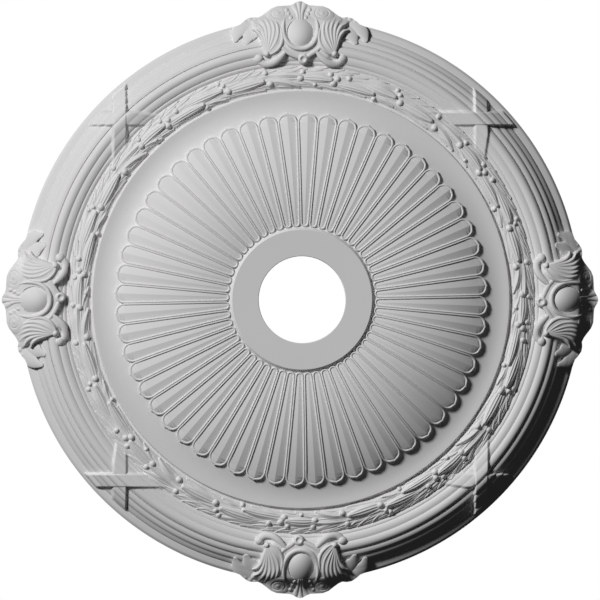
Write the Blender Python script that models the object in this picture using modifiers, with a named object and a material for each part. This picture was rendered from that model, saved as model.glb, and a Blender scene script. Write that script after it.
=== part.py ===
"""A round ceiling rose with a fan of petals, a leaf wreath, a reeded border and four cartouches.

It is one moulded casting, 698.5 mm across, in metres. It hangs as it does on a ceiling: the flat
back lies on z = 0, with the origin at its centre, and the carved face looks down, along -Z.

Places on the rose are given in millimetres as a radius, an angle and a height. The angle runs
clockwise from the top cartouche as seen from below, and the height is the drop below the ceiling.
"""

import math

import bmesh
import bpy
from mathutils import Matrix, Vector

MM = 0.001

# Sizes over all
PROJECTION = 76.2
TIP_RADIUS = 349.25
RIM_RADIUS = 328.5
RIM_HEIGHT = 2.6
HOLE_RADIUS = 50.8

# Fineness of the mesh: steps round the turned body, and what is merged, kept and sharp
TURNED_STEPS = 48
FLAT_ANGLE = 1.5
KEPT_SHARE = 0.74
SHARP_ANGLE = 24.0

# Flat ring round the hole
RING_RADIUS = 82.5
RING_EDGE = 3.0

# Fan of petals, whose tops lie on one arc
PETALS = 56
PETAL_SHIFT = 0.31
FAN_CREST_RADIUS = 114.0
FAN_CREST_HEIGHT = 75.2
FAN_ARC = 202.0
FAN_MIDDLE = 142.0
PETAL_START = 85.0
PETAL_SHOULDER = 209.0
PETAL_TIP = 218.4
PETAL_GAP = 1.0
PETAL_GROOVE = 2.8
TIP_NARROWING = 0.42
FAN_FOOT_HEIGHT = 68.5
FAN_SUNK = 9.0

# Plain cove outside the petals and the lip that ends it
LIP_RADIUS = 243.0
LIP_HEIGHT = 38.0
COVE_ARC = 50.0
COVE_FLAT = 239.0

# Wreath bed between two troughs: (radius, height)
WREATH_BED = ((246.5, 33.9), (256.0, 35.4), (266.0, 32.0), (274.0, 28.2))

# Wreath's carving, repeated every 45 degrees: leaves as (angle, radius, length, width, turn),
# berries as (angle, radius)
WREATH_UNITS = 8
WREATH_START = 8.5
WREATH_LEAVES = (
    (-4.6, 261.0, 40.0, 24.0, 0.0),
    (7.5, 258.5, 60.0, 23.0, -3.0),
    (21.0, 261.0, 66.0, 24.0, 2.0),
    (33.5, 259.0, 52.0, 23.0, -3.0),
)
WREATH_BERRIES = ((0.6, 261.0), (17.5, 264.5), (28.5, 266.5))
LEAF_THICKNESS = 3.6
LEAF_TILT = math.radians(14.0)
BERRY_RADIUS = 4.2

# Reeded border: (radius, height) of the grooves and how far each reed swells between two of them
REED_GROOVES = ((279.2, 28.5), (288.4, 29.2), (299.2, 25.4), (306.2, 20.9), (312.5, 15.3), (318.2, 8.6))
REED_SWELLS = (1.6, 3.2, 2.0, 1.2, 0.9)
RIM_BAND = ((319.8, 7.0), (325.4, 4.2))

# Hollow back, which follows the face about 15 mm behind it
BACK_LAND_RADIUS = 300.0
BACK_CEILING = 60.0

# Line that just clears the wreath's edge and the reeds: (radius, height)
BORDER_TOP = ((270.0, 31.6), (294.0, 31.4), (303.0, 26.0), (310.0, 20.4), (320.0, 10.0), (330.0, 5.0))

# Crossed ribbons between the cartouches
RIBBON_WIDTH = 15.2
RIBBON_CENTRE = 302.0
RIBBON_REACH = 24.5
RIBBON_LIFT = 1.6
RIBBON_UNDER = 0.9
RIBBON_SUNK = 6.5
RIBBON_ROWS = 6

# Cartouches: the plate's top as (radius, height), and its outline as (angle, outer radius, inner radius)
PLATE_TOP = ((270.0, 32.8), (292.0, 32.4), (304.0, 28.4), (318.0, 20.8), (334.0, 12.0), (350.0, 5.0))
PLATE_OUTLINE = (
    (0.0, TIP_RADIUS, 292.0),
    (1.9, 345.0, 292.0),
    (4.6, 343.6, 291.0),
    (7.6, 337.6, 284.0),
    (10.6, 334.6, 281.0),
    (12.6, 330.5, 284.0),
    (15.0, 326.0, 296.0),
)
PLATE_SIDE_FALL = 2.6
PLATE_STEP = 1.2
PLATE_SUNK = 4.0
PLATE_BACK = 0.4
CARTOUCHE_TILT = math.radians(25.0)

# Egg-shaped boss and the ring round it
EGG_RADIUS = 16.0
EGG_STRETCH = 1.02
EGG_FLATNESS = 0.7
EGG_CENTRE = 312.4
EGG_HEIGHT = 23.6
EGG_SEGMENTS = 10
EGG_RINGS = 6
FRAME_CENTRE = 310.4
FRAME_HEIGHT = 26.2
FRAME_RADIUS = 19.0
FRAME_TUBE = 3.0
FRAME_STEPS = 10
FRAME_SIDES = 3

# Finial's two leaves and the bead under the egg
FINIAL_CENTRE = 336.5
FINIAL_HEIGHT = 11.0
FINIAL_LENGTH = 25.0
FINIAL_WIDTH = 8.0
FINIAL_THICKNESS = 4.5
FINIAL_SPREAD = 13.0
BEAD_CENTRE = 283.0
BEAD_HEIGHT = 31.5
BEAD_RADIUS = 6.5
BEAD_THICKNESS = 4.5

# One side's carving as (distance from the axis, radius, turn, lift, length, width, thickness): two
# leaf fronds, the shoulder scroll, two husks and the lower scroll, which ends in a ball
SIDE_FORMS = (
    (30.0, 310.0, 106.0, 1.0, 56.0, 11.0, 5.0),
    (42.0, 309.0, 88.0, 0.0, 50.0, 12.0, 5.0),
    (26.0, 336.0, 10.0, 0.0, 30.0, 13.0, 4.5),
    (62.0, 318.0, 6.0, -1.0, 40.0, 14.0, 5.5),
    (62.0, 302.0, 4.0, -1.5, 36.0, 14.0, 5.5),
    (32.0, 279.0, 10.0, 0.0, 50.0, 9.0, 5.0),
)
SCROLL_BALL = (53.0, 279.0)
SCROLL_BALL_LIFT = 1.0
SCROLL_BALL_RADIUS = 6.4

# Facets of a leaf-shaped solid, round it and along it
LEAF_SIDES = 4
LEAF_RINGS = 3


def clear_scene():
    for item in list(bpy.data.objects):
        bpy.data.objects.remove(item, do_unlink=True)


def new_collection(name):
    collection = bpy.data.collections.new(name)
    bpy.context.scene.collection.children.link(collection)
    return collection


def point(radius, angle, height):
    """World place of a spot on the rose: angle in degrees, lengths in millimetres."""
    turn = math.radians(angle)
    return Vector((radius * math.sin(turn), -radius * math.cos(turn), -height)) * MM


def fan_height(radius):
    across = radius - FAN_CREST_RADIUS
    return FAN_CREST_HEIGHT - (FAN_ARC - math.sqrt(FAN_ARC**2 - across**2))


def cove_height(radius):
    across = max(COVE_FLAT - radius, 0.0)
    return LIP_HEIGHT + COVE_ARC - math.sqrt(COVE_ARC**2 - across**2)


def reed_points():
    """Grooves of the border with the crest of each reed between them, from inside to outside."""
    points = []
    for (r0, h0), (r1, h1), swell in zip(REED_GROOVES, REED_GROOVES[1:], REED_SWELLS):
        length = math.hypot(r1 - r0, h1 - h0)
        crest_radius = (r0 + r1) / 2 + swell * (h0 - h1) / length
        crest_height = (h0 + h1) / 2 + swell * (r1 - r0) / length
        points += [(r0, h0), (crest_radius, crest_height)]
    return points + [REED_GROOVES[-1]]


def face_profile():
    """(radius, height) down the face, from the hole to the rim."""
    ring_foot = PROJECTION - RING_EDGE - 2.0
    ring = [(HOLE_RADIUS, PROJECTION), (RING_RADIUS - 1.2, PROJECTION), (RING_RADIUS, ring_foot)]
    under_fan = [(r, fan_height(r) - PETAL_GROOVE - 1.6) for r in (150.0, 204.0)]
    cove = [(r, cove_height(r)) for r in (214.0, 225.0, LIP_RADIUS - 0.8)]
    wreath = list(WREATH_BED) + [(276.0, 29.4)]
    border = reed_points() + list(RIM_BAND) + [(RIM_RADIUS - 0.8, RIM_HEIGHT)]
    return ring + under_fan + cove + wreath + border


def back_profile():
    """(radius, height) over the back, from the rim land to the hole."""
    land = [(RIM_RADIUS, 0.0), (BACK_LAND_RADIUS, 0.0)]
    hollow = [(290.0, 10.0), (222.0, 25.0), (190.0, 43.0), (150.0, 56.0)]
    return land + hollow + [(HOLE_RADIUS, BACK_CEILING)]


def turned_body(collection):
    """The turned casting under the carving, closed between its face and its hollow back."""
    outline = back_profile()[:1] + face_profile()[::-1] + back_profile()[:0:-1]
    mesh = bpy.data.meshes.new("ceiling_rose")
    points = [(radius * MM, 0.0, -height * MM) for radius, height in outline]
    edges = [(i, (i + 1) % len(points)) for i in range(len(points))]
    mesh.from_pydata(points, edges, [])
    body = bpy.data.objects.new("ceiling_rose", mesh)
    collection.objects.link(body)
    screw = body.modifiers.new("turned", "SCREW")
    screw.steps = screw.render_steps = TURNED_STEPS
    screw.use_merge_vertices = True
    screw.merge_threshold = 0.00001
    return body


def helper(name, bm, collection):
    """A hidden mesh that a Boolean adds to the casting."""
    bmesh.ops.recalc_face_normals(bm, faces=bm.faces)
    mesh = bpy.data.meshes.new(name)
    bm.to_mesh(mesh)
    bm.free()
    made = bpy.data.objects.new(name, mesh)
    made.hide_render = True
    made.display_type = "WIRE"
    collection.objects.link(made)
    return made


def loft(bm, rows, ring=False):
    """Quads between rows of points. A ring joins each row's ends, and the last row to the first."""
    grid = [[bm.verts.new(place) for place in row] for row in rows]
    count = len(grid[0])
    for i in range(len(grid) if ring else len(grid) - 1):
        upper, lower = grid[i], grid[(i + 1) % len(grid)]
        for j in range(count):
            k = (j + 1) % count
            bm.faces.new((upper[j], upper[k], lower[k], lower[j]))
    if not ring:
        bm.faces.new(grid[0])
        bm.faces.new(grid[-1][::-1])


def fan_row(edge, valley, narrow=1.0):
    """One row round the fan: each petal's two edges, and the groove before the next petal."""
    pitch = 360.0 / PETALS
    row = []
    for petal in range(PETALS):
        middle = pitch * (petal + PETAL_SHIFT)
        reach = (pitch / 2 - math.degrees(PETAL_GAP / edge[0])) * narrow
        for angle, (radius, height) in ((-reach, edge), (reach, edge), (pitch / 2, valley)):
            row.append(point(radius, middle + angle, height))
    return row


def petal_fan(collection):
    """All the petals as one fluted ring with scalloped tips, its underside sunk in the casting."""
    bm = bmesh.new()

    def top(edge, valley, narrow=1.0):
        return fan_row((edge, fan_height(edge)), (valley, fan_height(valley) - PETAL_GROOVE), narrow)

    def sunk(radius):
        under = (radius, fan_height(radius) - FAN_SUNK)
        return fan_row(under, under)

    foot = cove_height(PETAL_TIP) - 2.0
    shoulder = PETAL_SHOULDER - 1.0
    notch = (shoulder, fan_height(shoulder) - PETAL_GROOVE)
    rows = [
        fan_row((PETAL_START - 1.0, FAN_FOOT_HEIGHT), (PETAL_START + 2.0, FAN_FOOT_HEIGHT)),
        top(PETAL_START, PETAL_START + 4.0),
        top(FAN_MIDDLE, FAN_MIDDLE),
        top(PETAL_SHOULDER, PETAL_SHOULDER - 4.0),
        fan_row((PETAL_TIP, fan_height(PETAL_TIP)), notch, TIP_NARROWING),
        fan_row((PETAL_TIP + 0.5, foot), (shoulder + 0.5, foot), TIP_NARROWING),
        sunk(200.0),
        sunk(150.0),
    ]
    loft(bm, rows, ring=True)
    return helper("petal_fan", bm, collection)


def placed(radius, angle, height, turn=0.0, tilt=0.0):
    """Frame on the rose: X clockwise along the moulding, Y outwards and Z towards the ceiling.

    turn spins it in its own plane, clockwise as seen from below, and tilt leans its face outwards.
    """
    spin = Matrix.Rotation(math.radians(angle), 4, "Z")
    base = Matrix(((1, 0, 0, 0), (0, -1, 0, 0), (0, 0, 1, 0), (0, 0, 0, 1)))
    base = spin @ base
    lean = Matrix.Rotation(tilt, 4, "X") @ Matrix.Rotation(-math.radians(turn), 4, "Z")
    return Matrix.Translation(point(radius, angle, height)) @ base @ lean


def pod(bm, frame, length, width, thick):
    """A pointed leaf-like solid along the frame's X."""
    size = Matrix.Diagonal((length / 2 * MM, width / 2 * MM, thick * MM, 1.0))
    matrix = frame @ size @ Matrix.Rotation(math.pi / 2, 4, "Y")
    bmesh.ops.create_uvsphere(bm, u_segments=LEAF_SIDES, v_segments=LEAF_RINGS, radius=1.0, matrix=matrix)


def ball(bm, frame, radius, thick=None):
    size = Matrix.Diagonal((radius * MM, radius * MM, (thick or radius) * MM, 1.0))
    bmesh.ops.create_icosphere(bm, subdivisions=1, radius=1.0, matrix=frame @ size)


def between(line, radius):
    """Height at a radius on a line of (radius, height) points."""
    for (r0, h0), (r1, h1) in zip(line, line[1:]):
        if radius <= r1:
            return h0 + (h1 - h0) * (radius - r0) / (r1 - r0)
    return line[-1][1]


def wreath(collection):
    """Leaves and berries of the wreath: one unit repeated all round, pointing clockwise."""
    bm = bmesh.new()
    for unit in range(WREATH_UNITS):
        start = WREATH_START + 360.0 / WREATH_UNITS * unit
        for angle, radius, length, width, turn in WREATH_LEAVES:
            height = between(WREATH_BED, radius) + 0.3
            pod(bm, placed(radius, start + angle, height, turn, LEAF_TILT), length, width, LEAF_THICKNESS)
        for angle, radius in WREATH_BERRIES:
            height = between(WREATH_BED, radius) + 1.6
            ball(bm, placed(radius, start + angle, height), BERRY_RADIUS)
    return helper("wreath", bm, collection)


def ribbon(bm, centre, along, over):
    """One flat strap along a straight line in plan, following the border's fall."""
    across = Vector((along.y, along.x, 0.0))
    rows = []
    for step in range(RIBBON_ROWS):
        middle = centre + along * (RIBBON_REACH * (2 * step / (RIBBON_ROWS - 1) - 1.0))
        row = []
        for side, sink in ((-1, 0.0), (1, 0.0), (1, RIBBON_SUNK), (-1, RIBBON_SUNK)):
            spot = middle + across * (side * RIBBON_WIDTH / 2)
            height = max(between(BORDER_TOP, spot.xy.length) + over - sink, 1.0)
            row.append(Vector((spot.x, spot.y, -height)) * MM)
        rows.append(row)
    loft(bm, rows)


def ribbons(collection):
    """Two straps crossing at each diagonal. The one that lies over takes turns from corner to corner."""
    bm = bmesh.new()
    for corner in range(4):
        centre = point(RIBBON_CENTRE, 45.0 + 90.0 * corner, 0.0) / MM
        for upright, along in enumerate((Vector((1.0, 0.0, 0.0)), Vector((0.0, 1.0, 0.0)))):
            over = RIBBON_LIFT if upright == corner % 2 else RIBBON_LIFT - RIBBON_UNDER
            ribbon(bm, centre, along, over)
    return helper("ribbons", bm, collection)


def plate(bm, angle):
    """The cartouche's ground: a shield that leans outwards and passes the rim in a peak and shoulders."""
    rows = []
    left = [(-a, outer, inner) for a, outer, inner in PLATE_OUTLINE[:0:-1]]
    for a, outer, inner in left + list(PLATE_OUTLINE):
        middle = (inner + outer) / 2
        side_fall = PLATE_SIDE_FALL * abs(a) / PLATE_OUTLINE[-1][0]
        section = (
            (inner, between(BORDER_TOP, inner) - PLATE_SUNK),
            (inner + 1.0, between(BORDER_TOP, inner) + PLATE_STEP),
            (middle, between(PLATE_TOP, middle) - side_fall),
            (outer, between(PLATE_TOP, outer) - side_fall),
            (outer, PLATE_BACK),
            (RIM_RADIUS - 16.0, PLATE_BACK),
            (RIM_RADIUS - 20.0, PLATE_BACK + 5.6),
        )
        rows.append([point(radius, angle + a, height) for radius, height in section])
    loft(bm, rows)


def egg(bm, angle):
    """The egg-shaped boss, leaning outwards with the border."""
    frame = placed(EGG_CENTRE, angle, EGG_HEIGHT, 0.0, CARTOUCHE_TILT)
    size = EGG_RADIUS * MM
    shape = Matrix.Diagonal((size, EGG_STRETCH * size, EGG_FLATNESS * size, 1.0))
    bmesh.ops.create_uvsphere(
        bm, u_segments=EGG_SEGMENTS, v_segments=EGG_RINGS, radius=1.0, matrix=frame @ shape
    )


def egg_frame(bm, angle):
    """The thick ring round the egg, thinner at its outer end."""
    frame = placed(FRAME_CENTRE, angle, FRAME_HEIGHT, 0.0, CARTOUCHE_TILT)
    rows = []
    for step in range(FRAME_STEPS):
        turn = 2 * math.pi * step / FRAME_STEPS
        thick = FRAME_TUBE * (1.2 - 0.5 * math.sin(turn))
        row = []
        for side in range(FRAME_SIDES):
            roll = math.pi / 2 + 2 * math.pi * side / FRAME_SIDES
            reach = FRAME_RADIUS + thick * math.cos(roll)
            place = Vector((reach * math.cos(turn), reach * math.sin(turn), -thick * math.sin(roll)))
            row.append(frame @ (place * MM))
        rows.append(row)
    loft(bm, rows, ring=True)


def on_plate(across, radius, angle, side, turn, lift=0.0):
    """Frame on the cartouche at a distance across from its axis, mirrored on the other side."""
    reach = math.hypot(across, radius)
    offset = math.degrees(math.atan2(across, radius))
    slope = between(PLATE_TOP, reach - 4.0) - between(PLATE_TOP, reach + 4.0)
    height = between(PLATE_TOP, reach) + lift
    return placed(reach, angle + side * offset, height, side * turn, math.atan2(slope, 8.0))


def side_carving(bm, angle, side):
    """One side's fronds, scrolls and husks, and the ball that ends the lower scroll."""
    for across, radius, turn, lift, length, width, thick in SIDE_FORMS:
        pod(bm, on_plate(across, radius, angle, side, turn, lift), length, width, thick)
    ball(bm, on_plate(*SCROLL_BALL, angle, side, 0.0, SCROLL_BALL_LIFT), SCROLL_BALL_RADIUS)


def middle_carving(bm, angle):
    """The finial's two leaves outside the egg and the flat bead inside it."""
    for turn in (-FINIAL_SPREAD, FINIAL_SPREAD):
        frame = placed(FINIAL_CENTRE, angle, FINIAL_HEIGHT, 90.0 + turn, CARTOUCHE_TILT)
        pod(bm, frame, FINIAL_LENGTH, FINIAL_WIDTH, FINIAL_THICKNESS)
    ball(bm, placed(BEAD_CENTRE, angle, BEAD_HEIGHT), BEAD_RADIUS, BEAD_THICKNESS)


def cartouches(collection):
    bm = bmesh.new()
    for angle in (0.0, 90.0, 180.0, 270.0):
        plate(bm, angle)
        egg(bm, angle)
        egg_frame(bm, angle)
        middle_carving(bm, angle)
        for side in (-1, 1):
            side_carving(bm, angle, side)
    return helper("cartouches", bm, collection)


def add_carving(body, carving):
    union = body.modifiers.new(carving.name, "BOOLEAN")
    union.operation = "UNION"
    union.solver = "EXACT"
    union.use_self = True
    union.object = carving


def thin_out(body):
    """Merges faces that lie in one plane, then drops the spare points that the unions left."""
    flat = body.modifiers.new("merged_flats", "DECIMATE")
    flat.decimate_type = "DISSOLVE"
    flat.angle_limit = math.radians(FLAT_ANGLE)
    spare = body.modifiers.new("spare_points", "DECIMATE")
    spare.decimate_type = "COLLAPSE"
    spare.ratio = KEPT_SHARE


def shade(body):
    """Fixes the joined form as one mesh, smooth on its round parts and sharp on its edges."""
    graph = bpy.context.evaluated_depsgraph_get()
    joined = bpy.data.meshes.new_from_object(body.evaluated_get(graph))
    body.modifiers.clear()
    body.data = joined
    joined.shade_smooth()
    joined.set_sharp_from_angle(angle=math.radians(SHARP_ANGLE))


def primed_finish(body):
    """White primed moulding: off-white and matt."""
    material = bpy.data.materials.new("primed_white")
    material.use_nodes = True
    shader = material.node_tree.nodes["Principled BSDF"]
    shader.inputs["Base Color"].default_value = (0.78, 0.77, 0.755, 1.0)
    shader.inputs["Roughness"].default_value = 0.62
    shader.inputs["Metallic"].default_value = 0.0
    body.data.materials.append(material)


def build():
    clear_scene()
    rose = new_collection("ceiling_rose_parts")
    carving = new_collection("ceiling_rose_carving")
    body = turned_body(rose)
    primed_finish(body)
    for made in (petal_fan(carving), wreath(carving), ribbons(carving), cartouches(carving)):
        add_carving(body, made)
    thin_out(body)
    shade(body)


build()
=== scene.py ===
"""Scene for the ceiling rose: the cast form in fine relief, a pale studio, low light and a camera below.

Places are in millimetres, as a radius, an angle clockwise from the top cartouche as seen from below,
and a height, which is the drop below the ceiling plane. x runs to the right and y up in that view.
"""

import itertools
import math

import bpy
import numpy as np
from mathutils import Matrix, Vector


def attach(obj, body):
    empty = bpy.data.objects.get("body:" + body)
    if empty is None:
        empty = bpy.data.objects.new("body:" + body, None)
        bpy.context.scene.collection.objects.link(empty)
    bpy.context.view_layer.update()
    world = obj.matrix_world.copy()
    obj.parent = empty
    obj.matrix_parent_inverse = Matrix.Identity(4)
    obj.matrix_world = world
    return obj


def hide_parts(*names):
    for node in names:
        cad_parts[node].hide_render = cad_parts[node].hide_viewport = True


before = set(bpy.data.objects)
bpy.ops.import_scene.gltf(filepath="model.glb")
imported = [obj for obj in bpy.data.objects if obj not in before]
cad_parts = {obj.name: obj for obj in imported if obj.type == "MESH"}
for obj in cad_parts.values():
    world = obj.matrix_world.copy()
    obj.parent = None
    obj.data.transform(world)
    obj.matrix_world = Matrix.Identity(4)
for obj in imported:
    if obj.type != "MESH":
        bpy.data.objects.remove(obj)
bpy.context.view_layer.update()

MM = 0.001

# Sizes over all
PROJECTION = 76.2
HOLE_RADIUS = 50.8
RING_RADIUS = 82.5
RIM_RADIUS = 328.5
TIP_RADIUS = 349.25

# Carved ridges: points for each span of a path, steps in a smooth table of values, the least half
# width, the half width that one vein needs, the share of that at which it starts to show, and how
# steeply veins fade at a ridge's sides
PATH_STEPS = 5
TABLE_STEPS = 33
LEAST_WIDTH = 0.02
VEIN_SPACE = 1.8
VEIN_START = 0.35
VEIN_FADE = 3


def ease(value, low, high):
    """Smooth step from 0 at low to 1 at high."""
    share = np.clip((value - low) / (high - low), 0.0, 1.0)
    return share * share * (3 - 2 * share)


def read_table(table, value):
    """Second column of a table of pairs, read between its rows at values of the first."""
    first, second = np.transpose(table)
    return np.interp(value, first, second)


def mirrored(path, side):
    """A path drawn for the right, kept where side is 1 and turned over to the left where it is -1."""
    return [(side * x, y) for x, y in path]


def smooth_curve(points, steps):
    """Rows of numbers along a smooth curve through the given rows (Catmull-Rom)."""
    points = np.asarray(points, float)
    ends = np.vstack([2 * points[0] - points[1], points, 2 * points[-1] - points[-2]])
    place = np.linspace(0, len(points) - 1, steps)
    k = np.minimum(place.astype(int), len(points) - 2)
    f = (place - k)[:, None]
    a, b, c, d = ends[k], ends[k + 1], ends[k + 2], ends[k + 3]
    return 0.5 * (2 * b + (c - a) * f + (2 * a - 5 * b + 4 * c - d) * f**2 + (3 * b - a - 3 * c + d) * f**3)


def path_line(path):
    """Points along a smooth curve through the places of a path."""
    return smooth_curve(path, PATH_STEPS * (len(path) - 1) + 1)


def nearest(x, y, line):
    """Share along a line (0 to 1) and signed distance from it, for each point."""
    best = np.full(x.shape, np.inf)
    share, side = np.zeros(x.shape), np.zeros(x.shape)
    lengths = np.hypot(*np.diff(line, axis=0).T)
    reach = np.concatenate([[0.0], np.cumsum(lengths)])
    for (x0, y0), (x1, y1), start, length in zip(line, line[1:], reach, lengths):
        dx, dy = (x1 - x0) / length, (y1 - y0) / length
        along = np.clip((x - x0) * dx + (y - y0) * dy, 0.0, length)
        away_x, away_y = x - x0 - along * dx, y - y0 - along * dy
        gap = np.hypot(away_x, away_y)
        closer = gap < best
        best = np.where(closer, gap, best)
        share = np.where(closer, (start + along) / reach[-1], share)
        side = np.where(closer, np.sign(dx * away_y - dy * away_x), side)
    return share, best * side


def spread(values, share):
    """Values given evenly along a path, read smoothly at each share of it."""
    table = smooth_curve(np.asarray(values, float)[:, None], TABLE_STEPS)[:, 0]
    return np.interp(share, np.linspace(0, 1, TABLE_STEPS), table)


class Relief:
    """Heights over places (x, y) on the rose in millimetres, which carving raises or cuts.

    Raised forms stand on the ground given, or else on the heights that the relief began with. The
    power of a form shapes its section: 0.5 is round, less is fuller and more is slimmer.
    """

    def __init__(self, x, y, base):
        self.x, self.y = x.ravel(), y.ravel()
        self.base = np.array(base, float).ravel()
        self.height = self.base.copy()
        self.shape = x.shape

    def near(self, line, margin):
        """Numbers of the places within a box about a line."""
        low, high = line.min(0) - margin, line.max(0) + margin
        inside_x = (self.x > low[0]) & (self.x < high[0])
        inside_y = (self.y > low[1]) & (self.y < high[1])
        return np.nonzero(inside_x & inside_y)[0]

    def raise_to(self, at, rise, ground):
        """Raise some places to a rise over the ground, where they don't stand higher already."""
        floor = (self.base if ground is None else ground)[at]
        self.height[at] = np.maximum(self.height[at], floor + rise)

    def ridge(self, path, widths, lifts, power=0.5, veins=0, depth=0.0, ground=None):
        """A tapering ridge along a smooth path, with veins that fade out where it is narrow.

        widths are half widths and lifts are heights over the ground.
        """
        line = path_line(path)
        at = self.near(line, max(widths))
        share, offset = nearest(self.x[at], self.y[at], line)
        width = np.maximum(spread(widths, share), LEAST_WIDTH)
        across = offset / width
        inside = np.abs(across) < 1
        at, share, across, width = at[inside], share[inside], across[inside], width[inside]
        rise = spread(lifts, share) * (1 - across**2) ** power
        if veins:
            wide_enough = np.clip(width / (VEIN_SPACE * veins) - VEIN_START, 0.0, 1.0)
            from_side = np.minimum(1, VEIN_FADE * (1 - np.abs(across)))
            waves = 0.5 - 0.5 * np.cos(2 * math.pi * veins * across)
            rise = rise - depth * wide_enough * from_side * waves
        self.raise_to(at, rise, ground)

    def dome(self, x, y, radius, lift, stretch=1.0, turn=0.0, power=0.5, ground=None):
        """A round boss, stretched along its own axis."""
        dx, dy = self.x - x, self.y - y
        c, s = math.cos(math.radians(turn)), math.sin(math.radians(turn))
        gap2 = ((dx * c + dy * s) / (radius * stretch)) ** 2 + ((-dx * s + dy * c) / radius) ** 2
        at = np.nonzero(gap2 < 1)[0]
        self.raise_to(at, lift * (1 - gap2[at]) ** power, ground)

    def groove(self, path, widths, depths):
        """A rounded cut along a smooth path into whatever stands there."""
        line = path_line(path)
        at = self.near(line, max(widths))
        share, offset = nearest(self.x[at], self.y[at], line)
        across = offset / np.maximum(spread(widths, share), LEAST_WIDTH)
        inside = np.abs(across) < 1
        self.height[at[inside]] -= spread(depths, share[inside]) * (1 - across[inside] ** 2) ** 2

    def sink(self, gap, radius, floor):
        """Cut whatever stands within a radius down to the floor's heights; gap is each place's distance."""
        self.height = np.where(gap < radius, np.minimum(self.height, floor), self.height)

    def result(self):
        return self.height.reshape(self.shape)


# Reeded border, with its fillet and rim as pairs of radius and height. Each reed is an arc: first and
# last radius, its centre's radius and height, the arc's two half axes, and how much it falls outwards
FILLET = (
    (270.0, 27.2), (273.0, 27.1), (274.0, 27.3), (275.0, 28.0), (276.2, 28.7), (277.8, 28.8), (278.8, 28.3),
)
REEDS = (
    (279.2, 288.5, 284.4, 30.4, 5.8, 3.5, 0.0),
    (288.5, 299.1, 292.5, 30.9, 6.65, 6.4, 0.0),
    (299.1, 306.3, 299.2, 26.0, 7.15, 5.2, 0.0),
    (306.3, 312.7, 306.3, 20.3, 6.42, 3.9, 0.25),
    (312.7, 318.3, 312.7, 14.1, 5.62, 2.5, 0.7),
)
RIM_CURVE = (
    (318.7, 6.6), (320.0, 6.2), (322.5, 5.2), (324.8, 4.2), (326.0, 3.5), (327.0, 2.4), (328.6, 0.4),
)
REED_STEPS = 11

# Reeds that start beyond a radius have a crease before them. Border points are never far apart
CREASE_WIDTH = 1.0
CREASE_DEPTH = 0.8
CREASE_MIDDLE = 0.4
CREASED_FROM = 290.0
WIDEST_STEP = 0.9


def border_line():
    """The turned border from its fillet to the rim, as rows of (radius, height)."""
    line = list(FILLET)
    for first, last, centre, top, wide, deep, fall in REEDS:
        start = first
        if first > CREASED_FROM:
            line.append((first + CREASE_MIDDLE * CREASE_WIDTH, line[-1][1] - CREASE_DEPTH))
            start += CREASE_WIDTH
        start_turn = math.asin((start - centre) / wide)
        end_turn = math.asin((last - centre) / wide)
        for turn in np.linspace(start_turn, end_turn, REED_STEPS):
            across = wide * math.sin(turn)
            line.append((centre + across, top - fall * across - deep * (1 - math.cos(turn))))
    return np.array(line + list(RIM_CURVE))


def border_radii(start, end):
    """Radii of the border's own points between two, with more where they stand far apart."""
    radii = [start]
    for radius in border_line()[:, 0]:
        if start < radius < end:
            steps = math.ceil((radius - radii[-1]) / WIDEST_STEP)
            radii += list(np.linspace(radii[-1], radius, steps + 1)[1:])
    return np.array(radii + [end])


def border_height(radius):
    """Height of the turned border: fillet, five reeds and the rim's curve."""
    return read_table(border_line(), radius)


# Outer edge at a cartouche: degrees from its axis and radius
SILHOUETTE = (
    (0.0, 349.25), (0.55, 348.6), (1.25, 346.0), (1.9, 344.6), (3.0, 344.4), (4.5, 344.4), (5.6, 342.4),
    (6.6, 338.8), (7.6, 335.4), (8.5, 333.6), (9.4, 334.9), (10.4, 334.9), (11.4, 332.4), (12.3, 329.4),
    (13.2, 328.5),
)

# Ground of a cartouche as pairs of radius and height, and how far it falls between two distances
# across. The wings beside it carry the husks
PLATE_TOP = (
    (270.0, 33.4), (282.0, 34.2), (292.0, 34.0), (300.0, 32.1), (308.0, 29.3), (316.0, 26.2), (322.0, 23.4),
    (326.0, 20.8), (329.0, 17.0), (332.0, 12.2), (336.0, 7.0), (341.0, 3.2), (346.0, 1.1), (350.0, 0.4),
)
PLATE_STEPS = 60
PLATE_SIDE_FALL = 5.0
PLATE_SIDE = (26.0, 58.0)
WING_TOP = (
    (285.0, 27.5), (298.0, 27.5), (306.0, 23.4), (314.0, 17.0), (322.0, 11.0), (329.0, 6.6), (337.0, 2.2),
)

# Inner edge of that ground, as distances across and outwards, and half the width of its step
SHIELD_INSIDE = (
    (0.0, 281.5), (6.0, 282.5), (12.0, 286.0), (18.0, 289.0), (24.0, 284.0), (30.0, 280.5), (44.0, 281.0),
)
SHIELD_STEP = 1.2

# Sides of that ground, as distances outwards and across, how far it reaches past them, the width of
# its slope there, and the least share of it that shows
SHIELD_SIDE = (
    (283.0, 34.0), (290.0, 39.0), (300.0, 42.0), (310.0, 47.0), (318.0, 53.0), (326.0, 60.0), (336.0, 66.0),
)
SHIELD_REACH = 7.0
SHIELD_SLOPE = 12.0
SHIELD_LEAST = 0.02

# Egg: its middle, radius, stretch outwards and lift, the seat cut for it, and the seat's tilt
EGG = (-0.3, 312.7)
EGG_RADIUS = 15.0
EGG_STRETCH = 1.08
EGG_LIFT = 7.4
EGG_RECESS = 15.6
EGG_SEAT = 25.9
EGG_TILT = 0.46

# Eyelet under the egg, with its pit
EYELET = (2.6, 281.4)
EYELET_RADIUS = 6.0
EYELET_LIFT = 3.6
PIT_RADIUS = 3.6
PIT_RIM = 3.4
PIT_DEPTH = 2.2

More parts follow.
